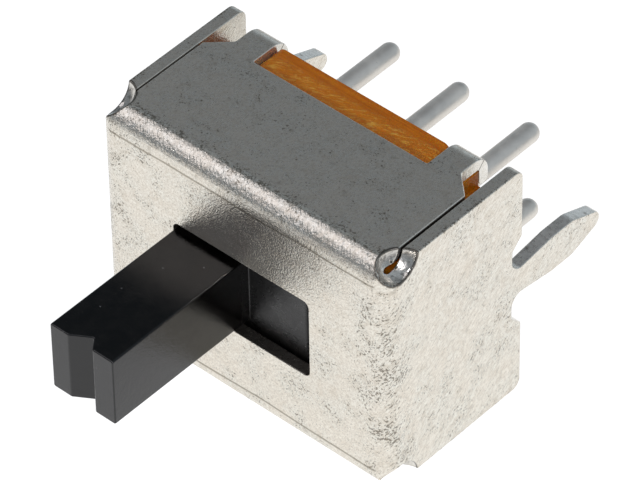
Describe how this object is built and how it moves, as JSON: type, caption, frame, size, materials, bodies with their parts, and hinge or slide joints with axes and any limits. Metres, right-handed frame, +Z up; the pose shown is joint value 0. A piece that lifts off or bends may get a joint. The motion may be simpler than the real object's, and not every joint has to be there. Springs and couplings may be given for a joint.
{
  "type": "slide switch",
  "caption": "Through-hole slide switch with a long lever: folded metal shell, clinched terminal board, round pins and snap-in mounting legs.",
  "frame": {"origin": "centre of the pin grid, on the plane where the end plates stand on the circuit board", "axes": "+Y the way the pins point into the board, +X the lever's travel from its rest position, +Z up with the switch lying on its lower flap"},
  "size_m": [0.0102, 0.0139, 0.008],
  "materials": {
    "tinned_steel": "satin",
    "phenolic": "matte",
    "tinned_brass": "satin",
    "black_plastic": "satin",
    "bronze": "satin",
    "spring_wire": "satin"
  },
  "bodies": {
    "housing": {"shell": "tinned_steel", "terminal_board": "phenolic", "terminal_upper_left": "tinned_brass", "terminal_upper_middle": "tinned_brass", "terminal_upper_right": "tinned_brass", "terminal_lower_left": "tinned_brass", "terminal_lower_middle": "tinned_brass", "terminal_lower_right": "tinned_brass"},
    "carriage": {"slider": "black_plastic", "contact_clip_upper": "bronze", "contact_clip_lower": "bronze", "spring_upper": "spring_wire", "spring_lower": "spring_wire"}
  },
  "joints": [
    {"name": "slider_slide", "type": "slide", "parent": "housing", "child": "carriage", "axis": [1, 0, 0], "range_m": [0, 0.0025]}
  ]
}
